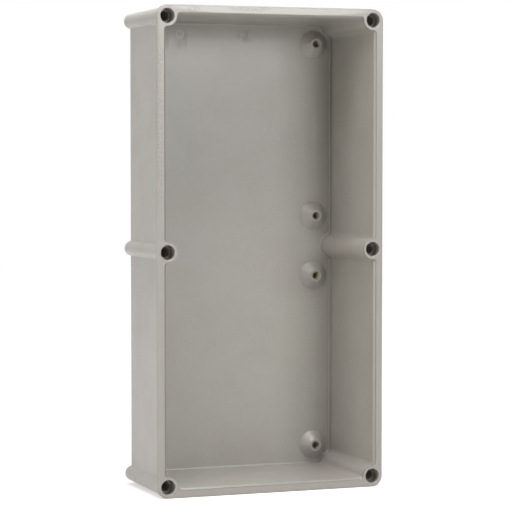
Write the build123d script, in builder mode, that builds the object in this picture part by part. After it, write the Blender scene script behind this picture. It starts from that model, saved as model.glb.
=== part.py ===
from build123d import *
import os
from math import isclose, radians, tan

# Open base of a glass-fibre polyester enclosure, standing upright with its mouth towards -Y.
# X runs across, Y runs from the rim to the back, Z is up. The origin is the centre of the
# bounding box's bottom. Sizes are in millimetres and angles in degrees. Distances from the
# rim are measured from its flat face towards the back.

# Overall size
width = 270.0
height = 540.0
depth = 125.0                 # rim face to the back ends of the screw columns

# Rim flange round the mouth
flange_thickness = 4.0
flange_overhang = 7.2         # rim's outer edge to the outside of the wall, at the rim
flange_front_radius = 2.2
flange_back_radius = 0.8
rebate_ledge = 2.5            # shallow step just inside the sealing face
rebate_depth = 1.0
mouth_chamfer = 1.9           # eases the step into the inside of the wall

# Walls and back
wall_thickness = 3.5
back_thickness = 3.5
wall_draft = 1.2              # the mould's draft, the same inside and outside
back_edge_radius = 5.0
floor_blend = 2.0             # inside, between the floor and the walls
foot_height = 1.2             # the column ends stand this far behind the back

# Screw columns, one in each corner and one halfway up each long side
column_inset = 12.5           # column axis to the rim's outer edge, also the rim's corner radius
column_radius = 10.4          # outside the walls, at the rim
column_draft = 0.85
column_end_chamfer = 0.4
column_blend = 0.8            # between a column and the walls, outside
bulge_radius = 11.0           # the same column inside the box, at the rim
bulge_draft = 0.75
mouth_blend = 4.0             # between a bulge and the walls, at the rim
deep_blend = 6.0              # the same at the floor

# Lid screw holes in the columns
socket_radius = 8.15
socket_depth = 12.0
socket_edge = 0.4
lid_guide_radius = 5.7        # bore between the socket's shoulder and the threaded insert
lid_insert_recess = 26.0      # length of that bore
lid_screw_run = 14.0          # free bore for the screw's end beyond the insert

# Mounting bosses on the floor
boss_inset = 35.0             # axis of an outermost boss to the rim's outer edges
boss_middle_offset = 35.0     # the other two rows, above and below the middle
boss_height = 9.5
boss_top_radius = 6.75
boss_foot_radius = 17.0
boss_step_height = 0.6        # the cone stands on a thin disc
boss_step_width = 0.5
boss_edge_radius = 0.7

# Brass inserts, M6
thread_radius = 3.0
thread_minor_radius = 2.5     # the bore is drawn at the thread's minor diameter
boss_insert_radius = 4.4
boss_insert_length = 10.0
lid_insert_radius = 4.8
lid_insert_length = 14.0
insert_neck_radius = 3.55     # the moulding covers the rest of an insert's front end
insert_neck_length = 1.5
insert_groove_width = 1.6
insert_groove_depth = 0.5
insert_edge = 0.4
insert_lead = 0.8             # countersink of the thread's mouth
insert_fit = 0.02             # radial clearance between an insert and its bore
screw_clearance = 0.3         # radial, round the screw's end beyond an insert
boss_screw_run = 1.5          # free bore for the screw's end beyond the insert

# Ejector pin's mark on the floor
mark_radius = 4.6
mark_depth = 0.2
mark_side_inset = 69.6        # its centre to the rim's left edge
mark_top_inset = 25.6         # and to the rim's top edge

# Places worked out from the sizes above
column_x = width / 2 - column_inset
column_pitch = height / 2 - column_inset
column_rows = {"bottom": -column_pitch, "middle": 0, "top": column_pitch}
boss_x = width / 2 - boss_inset
boss_rows = {
    "bottom": boss_inset - height / 2,
    "lower": -boss_middle_offset,
    "upper": boss_middle_offset,
    "top": height / 2 - boss_inset,
}
mark_place = Vector(mark_side_inset - width / 2, height / 2 - mark_top_inset)
wall_half_width = width / 2 - flange_overhang - wall_thickness
wall_half_height = height / 2 - flange_overhang - wall_thickness
chamfer_end = rebate_depth + mouth_chamfer
back_face = depth - foot_height
floor_face = back_face - back_thickness
boss_top = floor_face - boss_height
boss_root = back_thickness / 2
lid_insert_top = socket_depth + lid_insert_recess
screw_bore_radius = thread_radius + screw_clearance


def level(distance):
    # Plane parallel to the rim face, this far behind it, centred on the mouth, facing out of it.
    return Plane((0, distance - depth / 2, height / 2), x_dir=(1, 0, 0), z_dir=(0, -1, 0))


def drafted(size, distance, angle):
    # A size after the draft has taken it in, or out, over this distance.
    return size - distance * tan(radians(angle))


column_places = [Vector(x, z) for x in (-column_x, column_x) for z in column_rows.values()]
boss_places = [Vector(x, z) for x in (-boss_x, boss_x) for z in boss_rows.values()]


def inside_outline(distance, half_width, half_height, bulge, blend):
    # The box's inside at one level: a rectangle with the columns bulging in, blended to the walls.
    with BuildSketch(level(distance)) as outline:
        Rectangle(2 * half_width, 2 * half_height)
        with Locations(*column_places):
            Circle(bulge, mode=Mode.SUBTRACT)
        fillet(outline.vertices(), blend)
    return outline.sketch


# The space inside the box, from the rebate round its mouth to the floor
wall_run = floor_face - chamfer_end
rebate_outline = inside_outline(
    0, wall_half_width + rebate_ledge, wall_half_height + rebate_ledge, bulge_radius, mouth_blend
)
chamfer_outline = inside_outline(
    rebate_depth,
    wall_half_width + mouth_chamfer,
    wall_half_height + mouth_chamfer,
    bulge_radius,
    mouth_blend,
)
mouth_outline = inside_outline(
    chamfer_end, wall_half_width, wall_half_height, bulge_radius, mouth_blend
)
floor_outline = inside_outline(
    floor_face,
    drafted(wall_half_width, wall_run, wall_draft),
    drafted(wall_half_height, wall_run, wall_draft),
    drafted(bulge_radius, wall_run, -bulge_draft),
    deep_blend,
)
with BuildPart() as cavity:
    extrude(rebate_outline, amount=-rebate_depth)
    loft([chamfer_outline, mouth_outline], ruled=True)
    loft([mouth_outline, floor_outline], ruled=True)
    fillet(cavity.faces().sort_by(Axis.Y)[-1].edges(), floor_blend)

# A boss: a cone on a thin disc, with the bore for its insert cut later
with BuildPart() as boss:
    with BuildSketch(Plane.XZ):
        with BuildLine():
            Polyline(
                (0, -boss_root),
                (boss_foot_radius, -boss_root),
                (boss_foot_radius, boss_step_height),
                (boss_foot_radius - boss_step_width, boss_step_height),
                (boss_top_radius, boss_height),
                (0, boss_height),
                close=True,
            )
        make_face()
    revolve(axis=Axis.Z)
    fillet(boss.faces().sort_by(Axis.Z)[-1].edges(), boss_edge_radius)

# The rim flange
with BuildPart() as flange:
    with BuildSketch(level(0)):
        RectangleRounded(width, height, column_inset)
    extrude(amount=-flange_thickness)
    fillet(flange.edges().group_by(Axis.Y)[0], flange_front_radius)
    fillet(flange.edges().group_by(Axis.Y)[-1], flange_back_radius)

# The moulding
with BuildPart() as enclosure_base:
    # Walls and back, drafted towards the back
    with BuildSketch(level(0)):
        RectangleRounded(
            width - 2 * flange_overhang, height - 2 * flange_overhang, column_inset - flange_overhang
        )
    extrude(amount=-back_face)
    draft(enclosure_base.faces().filter_by(Axis.Y, reverse=True), level(0), -wall_draft)
    fillet(enclosure_base.faces().sort_by(Axis.Y)[-1].edges(), back_edge_radius)

    # Screw columns, which end inside the flange, behind its rounded front edge
    with Locations(level(depth)):
        with Locations(*column_places):
            Cone(
                drafted(column_radius, depth, column_draft),
                drafted(column_radius, flange_front_radius, column_draft),
                depth - flange_front_radius,
                align=(Align.CENTER, Align.CENTER, Align.MIN),
            )
    fillet(enclosure_base.edges(Select.NEW), column_blend)
    chamfer(enclosure_base.edges().group_by(Axis.Y)[-1], column_end_chamfer)

    # Rim, inside and bosses
    add(flange.part)
    add(cavity.part, mode=Mode.SUBTRACT)
    with Locations(level(floor_face)):
        with Locations(*boss_places):
            add(boss.part)

    # Sockets for the lid screws
    with Locations(level(0)):
        with Locations(*column_places):
            CounterBoreHole(lid_guide_radius, socket_radius, socket_depth, lid_insert_top)
    rim_circles = enclosure_base.edges().group_by(Axis.Y)[0].filter_by(GeomType.CIRCLE)
    socket_rims = rim_circles.filter_by(lambda edge: isclose(edge.radius, socket_radius))
    chamfer(socket_rims, socket_edge)

    # Stepped holes for the inserts, with free bores beyond them
    for places, top, radius, length, run in (
        (column_places, lid_insert_top, lid_insert_radius, lid_insert_length, lid_screw_run),
        (boss_places, boss_top, boss_insert_radius, boss_insert_length, boss_screw_run),
    ):
        with Locations(level(top)):
            with Locations(*places):
                Hole(insert_neck_radius + insert_fit, insert_neck_length)
                Hole(screw_bore_radius, length + run)
        with Locations(level(top + insert_neck_length)):
            with Locations(*places):
                Hole(radius + insert_fit, length - insert_neck_length)

    # Ejector pin's mark
    with Locations(level(floor_face)):
        with Locations(mark_place):
            Hole(mark_radius, mark_depth)


def threaded_insert(radius, length):
    # Brass insert with the end of its neck in the plane z = 0 and a groove round its waist.
    band = (length - insert_neck_length - insert_groove_width) / 2
    waist = radius - insert_groove_depth
    with BuildPart() as body:
        with BuildSketch(Plane.XZ):
            with BuildLine():
                Polyline(
                    (thread_minor_radius, 0),
                    (insert_neck_radius, 0),
                    (insert_neck_radius, -insert_neck_length),
                    (radius, -insert_neck_length),
                    (radius, -insert_neck_length - band),
                    (waist, -insert_neck_length - band),
                    (waist, band - length),
                    (radius, band - length),
                    (radius, -length),
                    (thread_minor_radius, -length),
                    close=True,
                )
            make_face()
        revolve(axis=Axis.Z)
        mouth = body.edges().group_by(Axis.Z)[-1].sort_by(SortBy.RADIUS)[0]
        chamfer(mouth, insert_lead)
        foot = body.edges().group_by(Axis.Z)[0].sort_by(SortBy.RADIUS)[-1]
        chamfer(foot, insert_edge)
    return body.part


def save_inserts(body, distance, half_spacing, rows, kind):
    # One insert in each hole of a pattern, in a file of its own that is named by its place.
    for side, x in (("left", -half_spacing), ("right", half_spacing)):
        for row, z in rows.items():
            with BuildPart(level(distance)) as insert:
                with Locations((x, z)):
                    add(body)
            insert.part.label = f"{kind}_{row}_{side}"
            export_step(insert.part, f"parts/{insert.part.label}.step")


os.makedirs("parts", exist_ok=True)
enclosure_base.part.label = "enclosure_base"
export_step(enclosure_base.part, "parts/enclosure_base.step")
lid_insert = threaded_insert(lid_insert_radius, lid_insert_length)
boss_insert = threaded_insert(boss_insert_radius, boss_insert_length)
save_inserts(lid_insert, lid_insert_top, column_x, column_rows, "lid_insert")
save_inserts(boss_insert, boss_top, boss_x, boss_rows, "boss_insert")
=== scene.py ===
from math import atan2, pi, radians

import bpy
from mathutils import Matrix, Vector


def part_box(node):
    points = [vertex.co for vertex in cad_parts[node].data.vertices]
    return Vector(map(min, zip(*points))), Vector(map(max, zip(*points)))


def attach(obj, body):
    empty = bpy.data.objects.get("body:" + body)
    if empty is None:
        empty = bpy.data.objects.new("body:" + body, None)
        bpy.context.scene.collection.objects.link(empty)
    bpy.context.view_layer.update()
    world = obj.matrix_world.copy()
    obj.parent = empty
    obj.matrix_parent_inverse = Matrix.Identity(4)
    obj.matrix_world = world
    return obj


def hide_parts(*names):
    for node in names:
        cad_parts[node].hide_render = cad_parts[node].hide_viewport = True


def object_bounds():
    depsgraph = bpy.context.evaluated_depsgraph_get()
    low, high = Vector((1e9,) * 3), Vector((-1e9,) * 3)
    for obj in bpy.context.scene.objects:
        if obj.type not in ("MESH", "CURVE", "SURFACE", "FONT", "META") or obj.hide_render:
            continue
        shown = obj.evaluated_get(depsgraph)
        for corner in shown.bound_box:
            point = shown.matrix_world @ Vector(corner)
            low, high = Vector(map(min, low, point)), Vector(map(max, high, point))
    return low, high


# Open base of a glass-fibre polyester enclosure, standing upright on a pale floor.
# Lengths in the settings are millimetres and angles are degrees.

mm = 0.001
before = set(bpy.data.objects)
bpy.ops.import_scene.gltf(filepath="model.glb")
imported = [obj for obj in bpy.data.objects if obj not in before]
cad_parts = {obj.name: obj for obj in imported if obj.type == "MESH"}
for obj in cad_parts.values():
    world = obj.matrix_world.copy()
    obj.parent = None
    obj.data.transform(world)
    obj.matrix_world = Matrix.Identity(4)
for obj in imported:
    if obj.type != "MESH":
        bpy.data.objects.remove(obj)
cadLow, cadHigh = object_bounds()
print("frame loaded:", len(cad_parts), "nodes")


def hexToLinear(code):
    # sRGB hex such as #D0CEC7 to the linear colour that a socket takes
    channels = [int(code[i:i + 2], 16) / 255 for i in (1, 3, 5)]
    linear = [c / 12.92 if c <= 0.04045 else ((c + 0.055) / 1.055) ** 2.4 for c in channels]
    return (*linear, 1.0)


def addNode(tree, kind, settings=None):
    # A setting is one of the node's options, a socket's value, or an output to link to a socket
    node = tree.nodes.new(kind)
    for name, value in (settings or {}).items():
        if isinstance(value, bpy.types.NodeSocket):
            tree.links.new(value, node.inputs[name])
        elif isinstance(name, str) and hasattr(node, name):
            setattr(node, name, value)
        else:
            node.inputs[name].default_value = value
    return node


def newMaterial(name):
    material = bpy.data.materials.new(name)
    material.use_nodes = True
    material.node_tree.nodes.clear()
    return material, material.node_tree


def deselectAll():
    if bpy.context.object and bpy.context.object.mode != "OBJECT":
        bpy.ops.object.mode_set(mode="OBJECT")
    bpy.ops.object.select_all(action="DESELECT")


# Patterns that the materials are made of


def millimetres(tree):
    # Object coordinates in millimetres
    place = addNode(tree, "ShaderNodeTexCoord").outputs["Object"]
    scaled = addNode(
        tree, "ShaderNodeVectorMath", {"operation": "SCALE", "Scale": 1 / mm, 0: place}
    )
    return scaled.outputs[0]


def mottle(tree, place, size, levels, detail, curve="LINEAR"):
    # Cloudy patches of about this size: 0 up to the first noise level and 1 from the second
    noise = addNode(
        tree, "ShaderNodeTexNoise", {"Scale": 1 / size, "Detail": detail, "Vector": place}
    )
    share = addNode(
        tree, "ShaderNodeMapRange",
        {
            "interpolation_type": curve,
            "Value": noise.outputs["Fac"],
            "From Min": levels[0],
            "From Max": levels[1],
        },
    )
    return share.outputs[0]


def awayFrom(tree, place, patch):
    # 0 at the patch's centre and 1 at its reach
    centre, reach = patch
    moved = addNode(tree, "ShaderNodeVectorMath", {"operation": "SUBTRACT", 0: place, 1: centre})
    shrunk = addNode(
        tree, "ShaderNodeVectorMath", {"operation": "DIVIDE", 0: moved.outputs[0], 1: reach}
    )
    away = addNode(tree, "ShaderNodeVectorMath", {"operation": "LENGTH", 0: shrunk.outputs[0]})
    return away.outputs["Value"]


def patchShare(tree, place, patch, core=0.0, curve="LINEAR"):
    # 1 up to the core, which is a share of the patch's reach, and fading to 0 at the reach
    share = addNode(
        tree, "ShaderNodeMapRange",
        {
            "interpolation_type": curve,
            "Value": awayFrom(tree, place, patch),
            "From Min": core,
            "To Min": 1.0,
            "To Max": 0.0,
        },
    )
    return share.outputs[0]


def tint(tree, colour, code, strength, *shares):
    # Lays a second colour over the first; its share is the strength times all the shares
    for share in shares:
        strength = addNode(
            tree, "ShaderNodeMath", {"operation": "MULTIPLY", 0: share, 1: strength}
        ).outputs[0]
    return addNode(
        tree, "ShaderNodeMix", {"data_type": "RGBA", 0: strength, 6: colour, 7: hexToLinear(code)}
    ).outputs[2]


# Traces of making and handling on the moulding, and painted light and shade

# Each kind of patch has its colour, its strength, the share of its reach where it begins to
# fade, the size of its grain if it isn't even, and its places: centre and reach, both x, y, z.
patchSettings = {
    # painted highlight: the top of the rim is made paler, where the overhead light grazes it
    "paintedTopHighlight": ("#BAB8B3", 0.95, 0.8, None, [  # along the top of the rim
        ((0.0, -62.5, 538.5), (128.0, 0.8, 9.0)),
    ]),
    "scuffs": ("#85827C", 0.45, 0.4, 1.75, [       # on the rim
        ((-93.0, -62.5, 536.0), (10.0, 3.0, 5.0)),
        ((-26.0, -62.5, 537.0), (32.0, 3.0, 5.0)),
        ((-131.0, -62.5, 488.0), (5.0, 3.0, 24.0)),
        ((-131.0, -62.5, 410.0), (6.0, 3.0, 130.0)),
    ]),
    "smudges": ("#5F5B54", 0.4, 0.0, 7.0, [        # on the floor's upper left
        ((-58.9, 57.8, 508.0), (5.0, 2.5, 16.0)),
        ((-69.8, 57.8, 510.0), (2.6, 2.5, 4.0)),
        ((14.8, 57.8, 514.0), (17.0, 2.5, 13.0)),
    ]),
    "streaksAndBossShadow": ("#5F5B54", 0.3, 0.0, None, [       # smudges wiped even, and a painted shadow beside the left top boss
        ((-58.4, 57.8, 507.0), (3.6, 2.5, 15.0)),
        ((-66.0, 57.8, 503.0), (9.0, 2.5, 10.0)),
        # painted shadow of the left top boss on the floor
        ((-81.2, 57.8, 505.0), (4.4, 2.5, 14.0)),
    ]),
}

# A level is a y, and where it has a second value, that is half its thickness.
traceAndShadeSettings = {
    "grainDetail": 5.0,
    "grainRange": (0.4, 0.61),    # noise levels between which a patch's grain goes from 0 to 1
    "rimShadeColour": "#A19D97",       # painted shade: the rim's face is a little darker
    "rimLevel": -60.6,
    "topEdgeShadeColour": "#847F78",       # painted shade along the very top edge, which dims its highlight
    "topEdgeShadeStrength": 0.85,
    "topEdgeShadeHeights": (537.4, 539.4),
    "markColour": "#C6C2BC",      # the ejector pin's edge left a pale ring
    "markStrength": 0.6,
    "markPlace": (-65.4, 57.8, 514.4),
    "markStretch": (1.0, 0.5, 1.0),  # the ring is flatter in y, so that the back has none
    "markRadius": 4.2,
    "markWidth": 1.4,
    "cornerShadeColour": "#57534C",    # painted shade along the corners between the floor and the side walls
    "cornerShadeStrength": 0.46,
    "corner": ((121.8, 58.3, 0.0), (20.0, 11.0, 1.0)),
    "cornerLimits": (123.0, 59.1),    # x within the side wall and y within the back
    "cornerHeights": (180.0, 380.0),  # the painted shade is lighter below these
    "cornerLowShare": 0.35,
    "seam": ((121.2, 57.1, 0.0), (2.8, 2.8, 1.0)),  # painted shade, darker in the rounded corner itself
    "seamCore": 0.5,
    "seamShadeStrength": 0.28,
    "rootRing": (13.3, 1.5),      # painted shade round the columns' feet too: middle radius, half width
    "rootLevel": (56.75, 1.0),
    "rootShadeStrength": 0.15,
    "edgeShadeColour": "#8F8B85",      # painted shade in the step and on the chamfer just inside the rim
    "edgeShadeStrength": 0.8,
    "edgeLevel": (-60.6, 1.25),
    "edgeInset": 7.6,
    "columnInset": 12.5,          # from the box's sides to a screw column's axis
    "socketShadeColour": "#85817A",    # painted shade on the sockets' walls
    "socketShadeStrength": 1.0,
    "socketRing": (7.2, 1.25),    # middle radius, half width
    "socketFade": (0.4, 13.0),    # depths below the rim between which it grows to full
    "socketEnd": -24.0,           # y where the inserts begin
    "shoulderShadeColour": "#4A463F",  # painted shade on the shoulder that the screws' collars press on
    "shoulderShadeStrength": 0.45,
    "shoulderLevel": (-50.5, 0.5),
}


def awayFromColumn(tree, place):
    # Distance from the nearest screw column's axis. The six columns lie the same on either side
    # and in each half, so the place is folded onto one of them.
    middle = (0, 0, (cadLow.z + cadHigh.z) / 2 / mm)
    column = cadHigh.x / mm - traceAndShadeSettings["columnInset"]
    half = (middle[2] - traceAndShadeSettings["columnInset"]) / 2
    axis = place
    for kind, value in (
        ("SUBTRACT", middle), ("ABSOLUTE", None), ("SUBTRACT", (column, 0, half)),
        ("ABSOLUTE", None), ("SUBTRACT", (0, 0, half)), ("MULTIPLY", (1, 0, 1)),
    ):
        settings = {"operation": kind, 0: axis}
        if value:
            settings[1] = value
        axis = addNode(tree, "ShaderNodeVectorMath", settings).outputs[0]
    away = addNode(tree, "ShaderNodeVectorMath", {"operation": "LENGTH", 0: axis})
    return away.outputs["Value"]


def socketShadeShares(tree, away, depth):
    # Shares of the painted shade on the walls of the screw sockets, and on their shoulders
    s = traceAndShadeSettings
    checks = [
        {"operation": "COMPARE", 0: away, 1: s["socketRing"][0], 2: s["socketRing"][1]},
        {"operation": "LESS_THAN", 0: depth, 1: s["socketEnd"]},
        {"operation": "COMPARE", 0: depth, 1: s["shoulderLevel"][0], 2: s["shoulderLevel"][1]},
    ]
    inBore, beforeInsert, onShoulder = [
        addNode(tree, "ShaderNodeMath", check).outputs[0] for check in checks
    ]
    start, full = (cadLow.y / mm + fade for fade in s["socketFade"])
    deep = addNode(
        tree, "ShaderNodeMapRange", {"Value": depth, "From Min": start, "From Max": full}
    )
    return (inBore, deep.outputs[0], beforeInsert), (inBore, onShoulder)


def cornerShadeShares(tree, axis):
    # The painted shade's shares near the corners between the floor and the side walls, and in the
    # corners themselves. The two lie the same, so the left one is folded onto the right one.
    s = traceAndShadeSettings
    side = addNode(tree, "ShaderNodeMath", {"operation": "ABSOLUTE", 0: axis["X"]}).outputs[0]
    folded = addNode(tree, "ShaderNodeCombineXYZ", {"X": side, "Y": axis["Y"]}).outputs[0]
    checks = [
        {"operation": "LESS_THAN", 0: axis["Y"], 1: s["cornerLimits"][1]},
        {"operation": "LESS_THAN", 0: side, 1: s["cornerLimits"][0]},
    ]
    inside = [addNode(tree, "ShaderNodeMath", check).outputs[0] for check in checks]
    upper = addNode(
        tree, "ShaderNodeMapRange",
        {
            "Value": axis["Z"],
            "From Min": s["cornerHeights"][0],
            "From Max": s["cornerHeights"][1],
            "To Min": s["cornerLowShare"],
        },
    )
    near = patchShare(tree, folded, s["corner"])
    seamShade = patchShare(tree, folded, s["seam"], s["seamCore"])
    return (near, upper.outputs[0], *inside), (seamShade, *inside)


def rootShadeShares(tree, away, depth):
    # 1 where a column's foot rounds into the floor, where shade is painted
    s = traceAndShadeSettings
    checks = [
        {"operation": "COMPARE", 0: away, 1: s["rootRing"][0], 2: s["rootRing"][1]},
        {"operation": "COMPARE", 0: depth, 1: s["rootLevel"][0], 2: s["rootLevel"][1]},
    ]
    return [addNode(tree, "ShaderNodeMath", check).outputs[0] for check in checks]


def edgeShadeShares(tree, place, depth):
    # 1 in the step and on the chamfer round the mouth, where shade is painted
    s = traceAndShadeSettings
    low, high = cadLow / mm, cadHigh / mm
    reach = (high - low) / 2
    moved = addNode(
        tree, "ShaderNodeVectorMath", {"operation": "SUBTRACT", 0: place, 1: (low + high) / 2}
    )
    side = addNode(tree, "ShaderNodeVectorMath", {"operation": "ABSOLUTE", 0: moved.outputs[0]})
    axis = addNode(tree, "ShaderNodeSeparateXYZ", {0: side.outputs[0]}).outputs
    checks = [
        {"operation": "LESS_THAN", 0: axis["X"], 1: reach.x - s["edgeInset"]},
        {"operation": "LESS_THAN", 0: axis["Z"], 1: reach.z - s["edgeInset"]},
        {"operation": "COMPARE", 0: depth, 1: s["edgeLevel"][0], 2: s["edgeLevel"][1]},
    ]
    return [addNode(tree, "ShaderNodeMath", check).outputs[0] for check in checks]


def handledAndShaded(tree, place, colour):
    # The moulding's colour with the traces and the painted light and shade laid over it
    s = traceAndShadeSettings
    axis = addNode(tree, "ShaderNodeSeparateXYZ", {0: place}).outputs
    depth = axis["Y"]
    # Painted shade: the rim's face is made a little darker
    onRim = addNode(tree, "ShaderNodeMath", {"operation": "LESS_THAN", 0: depth, 1: s["rimLevel"]})
    colour = tint(tree, colour, s["rimShadeColour"], onRim.outputs[0])
    # Patches: real scuffs and smudges, a painted highlight along the top of the rim and a painted
    # shadow beside the left top boss
    for code, strength, core, grainSize, patches in patchSettings.values():
        grain = []
        if grainSize:
            grain = [
                mottle(tree, place, grainSize, s["grainRange"], s["grainDetail"], "SMOOTHSTEP")
            ]
        for patch in patches:
            share = patchShare(tree, place, patch, core, "SMOOTHSTEP")
            colour = tint(tree, colour, code, strength, share, *grain)
    # Painted shade along the very top edge of the rim
    onTop = addNode(
        tree, "ShaderNodeMapRange",
        {"Value": axis["Z"], "From Min": s["topEdgeShadeHeights"][0], "From Max": s["topEdgeShadeHeights"][1]},
    )
    colour = tint(tree, colour, s["topEdgeShadeColour"], s["topEdgeShadeStrength"], onTop.outputs[0])

    # The pin's mark
    markAway = awayFrom(tree, place, (s["markPlace"], s["markStretch"]))
    ring = addNode(
        tree, "ShaderNodeMath",
        {"operation": "COMPARE", 0: markAway, 1: s["markRadius"], 2: s["markWidth"] / 2},
    )
    colour = tint(tree, colour, s["markColour"], s["markStrength"], ring.outputs[0])

    # Painted shade in corners, steps and sockets
    away = awayFromColumn(tree, place)
    near, seamShade = cornerShadeShares(tree, axis)
    wall, shoulder = socketShadeShares(tree, away, depth)
    for code, strength, shares in (
        (s["cornerShadeColour"], s["cornerShadeStrength"], near),
        (s["cornerShadeColour"], s["seamShadeStrength"], seamShade),
        (s["cornerShadeColour"], s["rootShadeStrength"], rootShadeShares(tree, away, depth)),
        (s["edgeShadeColour"], s["edgeShadeStrength"], edgeShadeShares(tree, place, depth)),
        (s["socketShadeColour"], s["socketShadeStrength"], wall),
        (s["shoulderShadeColour"], s["shoulderShadeStrength"], shoulder),
    ):
        colour = tint(tree, colour, code, strength, *shares)
    return colour


# Polyester moulding. A range gives the noise levels between which a pattern goes from 0 to 1.

polyesterSettings = {
    "colour": "#A9A6A1",        # light warm grey
    "greenColour": "#A8A79E",   # the batch drifts a little towards green
    "driftSize": 190.0,
    "driftRange": (0.4, 0.6),
    "shadeColour": "#A39F98",   # resin-rich patches are darker
    "shadeStrength": 0.7,
    "cloudSize": 38.0,
    "cloudRange": (0.38, 0.66),
    "strandColour": "#B0ACA6",  # glass strands just under the skin are paler
    "strandStrength": 0.55,
    "strandLength": 13.0,
    "strandWidth": 1.1,
    "strandPatch": 17.0,        # strands keep one direction over about this distance
    "strandRange": (0.48, 0.68),
    "strandHeight": 0.010,
    "speckColour": "#8E8A80",
    "speckStrength": 0.8,
    "speckSpacing": 11.0,
    "speckRadius": 0.34,
    "speckCore": 0.6,           # share of the radius at which a speck begins to fade
    "peelSize": 1.6,            # orange peel left by the mould's steel
    "peelHeight": 0.006,
    "roughness": (0.295, 0.345),  # drifts with the clouds of resin
    "glossRange": (0.3, 0.7),
    "ior": 1.55,
}


def pressedPolyester():
    # Glass-fibre polyester, hot pressed in a steel mould: an even satin skin over chopped
    # strands, which show as faint pale streaks, with a few dark specks in the resin.
    s = polyesterSettings
    material, tree = newMaterial("pressedGlassPolyester")
    place = millimetres(tree)

    # Strands: each patch turns the pattern its own way
    patch = addNode(tree, "ShaderNodeTexVoronoi", {"Scale": 1 / s["strandPatch"], "Vector": place})
    turn = addNode(
        tree, "ShaderNodeVectorMath",
        {"operation": "SCALE", "Scale": 2 * pi, 0: patch.outputs["Color"]},
    )
    turned = addNode(
        tree, "ShaderNodeVectorRotate",
        {"rotation_type": "EULER_XYZ", "Vector": place, "Rotation": turn.outputs[0]},
    )
    stretched = addNode(
        tree, "ShaderNodeMapping",
        {
            "Vector": turned.outputs[0],
            "Scale": (1 / s["strandLength"], 1 / s["strandWidth"], 1 / s["strandWidth"]),
        },
    )
    strand = mottle(tree, stretched.outputs[0], 1.0, s["strandRange"], detail=2.0)

    # Drift and clouds of richer resin, with the strands and dark specks over them
    drift = mottle(tree, place, s["driftSize"], s["driftRange"], detail=1.0)
    cloud = addNode(
        tree, "ShaderNodeTexNoise", {"Scale": 1 / s["cloudSize"], "Detail": 5.0, "Vector": place}
    ).outputs["Fac"]
    rich = addNode(
        tree, "ShaderNodeMapRange",
        {
            "Value": cloud,
            "From Min": s["cloudRange"][0],
            "From Max": s["cloudRange"][1],
            "To Max": s["shadeStrength"],
        },
    )
    cell = addNode(tree, "ShaderNodeTexVoronoi", {"Scale": 1 / s["speckSpacing"], "Vector": place})
    speckEdge = s["speckRadius"] / s["speckSpacing"]
    speck = addNode(
        tree, "ShaderNodeMapRange",
        {
            "Value": cell.outputs["Distance"],
            "From Min": s["speckCore"] * speckEdge,
            "From Max": speckEdge,
            "To Min": s["speckStrength"],
            "To Max": 0.0,
        },
    )
    colour = tint(tree, hexToLinear(s["colour"]), s["greenColour"], drift)
    colour = tint(tree, colour, s["shadeColour"], rich.outputs[0])
    colour = tint(tree, colour, s["strandColour"], s["strandStrength"], strand)
    colour = tint(tree, colour, s["speckColour"], speck.outputs[0])
    colour = handledAndShaded(tree, place, colour)

    # Skin: orange peel and a trace of the strands in relief
    peel = addNode(
        tree, "ShaderNodeTexNoise", {"Scale": 1 / s["peelSize"], "Detail": 2.0, "Vector": place}
    )
    peelBump = addNode(
        tree, "ShaderNodeBump", {"Distance": s["peelHeight"] * mm, "Height": peel.outputs["Fac"]}
    )
    strandBump = addNode(
        tree, "ShaderNodeBump",
        {"Distance": s["strandHeight"] * mm, "Height": strand, "Normal": peelBump.outputs[0]},
    )
    gloss = addNode(
        tree, "ShaderNodeMapRange",
        {
            "Value": cloud,
            "From Min": s["glossRange"][0],
            "From Max": s["glossRange"][1],
            "To Min": s["roughness"][0],
            "To Max": s["roughness"][1],
        },
    )
    skin = addNode(
        tree, "ShaderNodeBsdfPrincipled",
        {
            "Base Color": colour,
            "Roughness": gloss.outputs[0],
            "IOR": s["ior"],
            "Normal": strandBump.outputs[0],
        },
    )
    addNode(tree, "ShaderNodeOutputMaterial", {"Surface": skin.outputs[0]})
    return material


# Brass of the inserts

brassSettings = {
    "colour": "#62573A",
    "dullColour": "#332D1F",   # brown oxide in patches
    "dullSize": 2.5,
    "dullRange": (0.36, 0.6),  # noise levels between which the oxide goes from 0 to 1
    "mouthColour": "#A39D8C",  # screws have rubbed the mouths bright and pale
    "mouthDepth": 0.7,
    "roughness": (0.28, 0.48),  # bare and oxidised
}


def turnedBrass():
    # Free-cutting brass, turned on a lathe and left to tarnish: a dull olive-brown shine,
    # brighter round the mouth of the thread.
    s = brassSettings
    material, tree = newMaterial("tarnishedBrass")
    place = millimetres(tree)
    dull = mottle(tree, place, s["dullSize"], s["dullRange"], detail=4.0)
    colour = tint(tree, hexToLinear(s["colour"]), s["dullColour"], dull)
    depth = addNode(tree, "ShaderNodeSeparateXYZ", {0: place}).outputs["Y"]
    for kind in ("boss_insert", "lid_insert"):
        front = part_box(kind + "_top_left")[0].y / mm
        mouth = addNode(
            tree, "ShaderNodeMath",
            {"operation": "COMPARE", 0: depth, 1: front, 2: s["mouthDepth"]},
        )
        colour = tint(tree, colour, s["mouthColour"], mouth.outputs[0])
    gloss = addNode(
        tree, "ShaderNodeMapRange",
        {"Value": dull, "To Min": s["roughness"][0], "To Max": s["roughness"][1]},
    )
    skin = addNode(
        tree, "ShaderNodeBsdfPrincipled",
        {"Metallic": 1.0, "Base Color": colour, "Roughness": gloss.outputs[0]},
    )
    addNode(tree, "ShaderNodeOutputMaterial", {"Surface": skin.outputs[0]})
    return material


polyester = pressedPolyester()
brass = turnedBrass()
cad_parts["enclosure_base"].material_slots[0].material = polyester
print("materials made")

# Threaded inserts, M6

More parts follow.
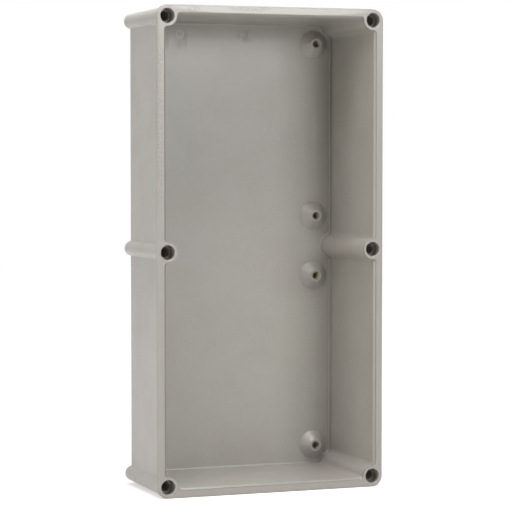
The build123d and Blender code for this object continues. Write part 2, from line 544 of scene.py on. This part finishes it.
insertSettings = {
    "threadRoot": 3.0,      # radius of the bore that the thread stands in
    "threadCrest": 2.5,
    "threadPitch": 1.0,
    "threadFlank": 0.52,    # distance from a crest to the middle of its ridge
    "threadStart": 0.9,     # below the mouth
    "threadSteps": 24,      # for one turn
    "mouthRadius": 3.3,     # of the countersink
    "neckRadius": 3.55,
    "neckLength": 1.5,
    "grooveWidth": 1.6,
    "grooveDepth": 0.5,
    "footEdge": 0.4,
    "teeth": 36,
    "toothDepth": 0.22,
    "sharpAngle": 35.0,     # edges that turn less are smooth
    "sameWithin": 0.01,     # two lengths that differ by less are the same
}


def selectVertices(mesh, wanted):
    # Selects the vertices for which wanted(place) holds, in edit mode
    bpy.ops.mesh.select_mode(type="VERT")
    bpy.ops.mesh.select_all(action="DESELECT")
    bpy.ops.object.mode_set(mode="OBJECT")
    for vertex in mesh.vertices:
        vertex.select = wanted(vertex.co / mm)
    bpy.ops.object.mode_set(mode="EDIT")


def turnedBush(radius, length):
    # The insert's body, turned ring by ring from the foot of its bore round to the same ring
    s = insertSettings
    band = (length - s["neckLength"] - s["grooveWidth"]) / 2
    waist = radius - s["grooveDepth"]
    rings = [
        (s["threadRoot"], s["threadRoot"] - s["mouthRadius"]),
        (s["mouthRadius"], 0),
        (s["neckRadius"], 0),
        (s["neckRadius"], -s["neckLength"]),
        (radius, -s["neckLength"]),
        (radius, -s["neckLength"] - band),
        (waist, -s["neckLength"] - band),
        (waist, band - length),
        (radius, band - length),
        (radius, s["footEdge"] - length),
        (radius - s["footEdge"], -length),
        (s["threadRoot"], -length),
    ]
    deselectAll()
    bpy.ops.mesh.primitive_circle_add(
        vertices=2 * s["teeth"], radius=s["threadRoot"] * mm, location=(0, 0, -length * mm)
    )
    bush = bpy.context.object
    bpy.ops.object.transform_apply(location=True, rotation=True, scale=True)
    bpy.ops.object.mode_set(mode="EDIT")
    bpy.ops.mesh.select_all(action="SELECT")
    lastRadius, lastLevel = s["threadRoot"], -length
    for ringRadius, level in rings:
        bpy.ops.mesh.extrude_edges_move(
            TRANSFORM_OT_translate={"value": (0, 0, (level - lastLevel) * mm)}
        )
        scale = ringRadius / lastRadius
        bpy.ops.transform.resize(value=(scale, scale, 1), center_override=(0, 0, level * mm))
        lastRadius, lastLevel = ringRadius, level
    bpy.ops.mesh.select_all(action="SELECT")
    bpy.ops.mesh.remove_doubles(threshold=s["sameWithin"] * mm)

    # Straight knurl: every other line of the two wide bands is pushed in
    halfTooth = pi / s["teeth"]
    selectVertices(
        bush.data,
        lambda place: place.xy.length > radius - s["sameWithin"]
        and round(atan2(place.y, place.x) / halfTooth) % 2 == 1,
    )
    scale = 1 - s["toothDepth"] / radius
    bpy.ops.transform.resize(value=(scale, scale, 1), center_override=(0, 0, 0))
    bpy.ops.mesh.select_all(action="SELECT")
    bpy.ops.mesh.normals_make_consistent(inside=False)
    bpy.ops.object.mode_set(mode="OBJECT")
    return bush


def cutThread(length):
    # The thread's ridge: a triangle, which has the flanks' 60 degrees, run down a helix
    s = insertSettings
    deselectAll()
    bpy.ops.mesh.primitive_circle_add(
        vertices=3,
        radius=s["threadFlank"] * mm,
        location=((s["threadCrest"] + s["threadFlank"]) * mm, 0, -s["threadStart"] * mm),
        rotation=(pi / 2, -pi / 2, 0),
    )
    thread = bpy.context.object
    bpy.ops.object.transform_apply(location=True, rotation=True, scale=True)
    helix = thread.modifiers.new("helix", "SCREW")
    helix.axis = "Z"
    helix.screw_offset = -s["threadPitch"] * mm
    helix.iterations = int((length - 2 * s["threadStart"]) / s["threadPitch"])
    helix.steps = helix.render_steps = s["threadSteps"]
    bpy.ops.object.modifier_apply(modifier="helix")
    bpy.ops.object.mode_set(mode="EDIT")
    bpy.ops.mesh.select_all(action="SELECT")
    bpy.ops.mesh.fill_holes(sides=3)
    bpy.ops.mesh.select_all(action="SELECT")
    bpy.ops.mesh.normals_make_consistent(inside=False)
    bpy.ops.object.mode_set(mode="OBJECT")
    return thread


def threadedInsert(radius, length):
    # Bush and thread as one piece, with its mouth at the origin and its axis up
    bush = turnedBush(radius, length)
    thread = cutThread(length)
    deselectAll()
    thread.select_set(True)
    bush.select_set(True)
    bpy.context.view_layer.objects.active = bush
    bpy.ops.object.join()
    bpy.ops.object.shade_smooth_by_angle(angle=radians(insertSettings["sharpAngle"]))
    bush.data.materials.clear()
    bush.data.materials.append(brass)
    return bush


def placeInserts(kind):
    # One insert is modelled, and a copy of it replaces each node of its kind
    names = [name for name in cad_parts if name.startswith(kind)]
    low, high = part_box(names[0])
    model = threadedInsert((high.x - low.x) / 2 / mm, (high.y - low.y) / mm)
    for name in names:
        low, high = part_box(name)
        deselectAll()
        model.select_set(True)
        bpy.context.view_layer.objects.active = model
        bpy.ops.object.duplicate(linked=False)
        piece = bpy.context.object
        piece.name = name + "_threaded"
        piece.rotation_euler = (pi / 2, 0, 0)
        piece.location = ((low.x + high.x) / 2, low.y, (low.z + high.z) / 2)
        bpy.ops.object.transform_apply(location=True, rotation=True, scale=True)
        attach(piece, "root")
        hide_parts(name)
    bpy.data.objects.remove(model)
    print(kind, "pieces:", len(names))


placeInserts("lid_insert")
placeInserts("boss_insert")

# Floor and white surroundings

stageSettings = {
    "floorSize": 9000.0,
    "floorColour": "#E6E6E4",
    "lift": (0.55, 1.0),      # light added where the floor is seen, so that it reads as white
    "reach": (350.0, 1300.0),  # distances from the object's middle where these two hold
    "domeStrength": 0.02,
}


def seenShare(tree):
    # 1 for rays that show a surface itself: to the camera, in a reflection or through glass
    rays = addNode(tree, "ShaderNodeLightPath").outputs
    share = rays["Is Camera Ray"]
    for kind in ("Is Glossy Ray", "Is Transmission Ray"):
        share = addNode(
            tree, "ShaderNodeMath", {"operation": "MAXIMUM", 0: share, 1: rays[kind]}
        ).outputs[0]
    return share


def paleFloor():
    # Matt white paper, which keeps the object's shadow near it and is pure white further off
    s = stageSettings
    deselectAll()
    bpy.ops.mesh.primitive_plane_add(size=s["floorSize"] * mm, location=(0, 0, cadLow.z))
    floor = bpy.context.object
    floor.name = "floor"
    bpy.ops.object.transform_apply(location=True, rotation=True, scale=True)
    material, tree = newMaterial("palePaper")
    place = addNode(tree, "ShaderNodeTexCoord").outputs["Object"]
    reach = addNode(tree, "ShaderNodeVectorMath", {"operation": "LENGTH", 0: place})
    glow = addNode(
        tree, "ShaderNodeMapRange",
        {
            "interpolation_type": "SMOOTHSTEP",
            "Value": reach.outputs["Value"],
            "From Min": s["reach"][0] * mm,
            "From Max": s["reach"][1] * mm,
            "To Min": s["lift"][0],
            "To Max": s["lift"][1],
        },
    )
    lift = addNode(
        tree, "ShaderNodeMath",
        {"operation": "MULTIPLY", 0: seenShare(tree), 1: glow.outputs[0]},
    )
    paper = addNode(tree, "ShaderNodeBsdfDiffuse", {"Color": hexToLinear(s["floorColour"])})
    white = addNode(tree, "ShaderNodeEmission", {"Strength": lift.outputs[0]})
    both = addNode(tree, "ShaderNodeAddShader", {0: paper.outputs[0], 1: white.outputs[0]})
    addNode(tree, "ShaderNodeOutputMaterial", {"Surface": both.outputs[0]})
    floor.data.materials.append(material)


def whiteWorld():
    # A dim dome that is seen as white
    world = bpy.data.worlds.new("studioWhite")
    world.use_nodes = True
    bpy.context.scene.world = world
    tree = world.node_tree
    tree.nodes.clear()
    dome, white = [
        addNode(
            tree, "ShaderNodeBackground", {"Color": hexToLinear("#FFFFFF"), "Strength": strength}
        )
        for strength in (stageSettings["domeStrength"], 1.0)
    ]
    shown = addNode(
        tree, "ShaderNodeMixShader", {0: seenShare(tree), 1: dome.outputs[0], 2: white.outputs[0]}
    )
    addNode(tree, "ShaderNodeOutputWorld", {"Surface": shown.outputs[0]})


# Softboxes: each one's place, the side lengths of its face, its power in watts and its colour
softboxSettings = {
    "overhead": ((0, -300, 1900), (1200, 1200), 36.0, "#FFFFFF"),
    "frontRight": ((950, -2350, 1100), (900, 500), 12.8, "#FFFFFF"),
    "front": ((430, -2500, 790), (860, 460), 8.8, "#FFFFFF"),
    "leftSide": ((-2200, -550, 500), (500, 900), 3.9, "#FFF9F5"),
    "leftHigh": ((-900, -700, 1300), (700, 700), 5.3, "#FFFAF7"),
    "leftLow": ((-2000, -800, 200), (800, 300), 6.2, "#FFF9F5"),
}


def softbox(name, place, size, power, colour):
    # Area lamp that faces the middle of the box
    lamp = bpy.data.lights.new(name, "AREA")
    lamp.shape = "RECTANGLE"
    lamp.size = size[0] * mm
    lamp.size_y = size[1] * mm
    lamp.energy = power
    lamp.color = hexToLinear(colour)[:3]
    holder = bpy.data.objects.new(name, lamp)
    bpy.context.scene.collection.objects.link(holder)
    holder.location = Vector(place) * mm
    target = (cadLow + cadHigh) / 2
    holder.rotation_euler = (target - holder.location).to_track_quat("-Z", "Y").to_euler()


cameraSettings = {
    "place": (-933.5, -2370.9, 380.8),
    "tilt": 87.284,      # from looking straight down
    "turn": -21.64,      # to the right of straight ahead
    "lens": 157.05,
    "sensor": 36.0,
    "clip": (100.0, 30000.0),
}


def photoCamera():
    s = cameraSettings
    camera = bpy.data.cameras.new("camera")
    camera.lens = s["lens"]
    camera.sensor_width = s["sensor"]
    camera.clip_start, camera.clip_end = (distance * mm for distance in s["clip"])
    holder = bpy.data.objects.new("camera", camera)
    bpy.context.scene.collection.objects.link(holder)
    holder.location = Vector(s["place"]) * mm
    holder.rotation_euler = (radians(s["tilt"]), 0, radians(s["turn"]))
    bpy.context.scene.camera = holder


paleFloor()
whiteWorld()
for name, lampSettings in softboxSettings.items():
    softbox(name, *lampSettings)
photoCamera()
bpy.context.scene.view_settings.view_transform = "Standard"
print("stage set")
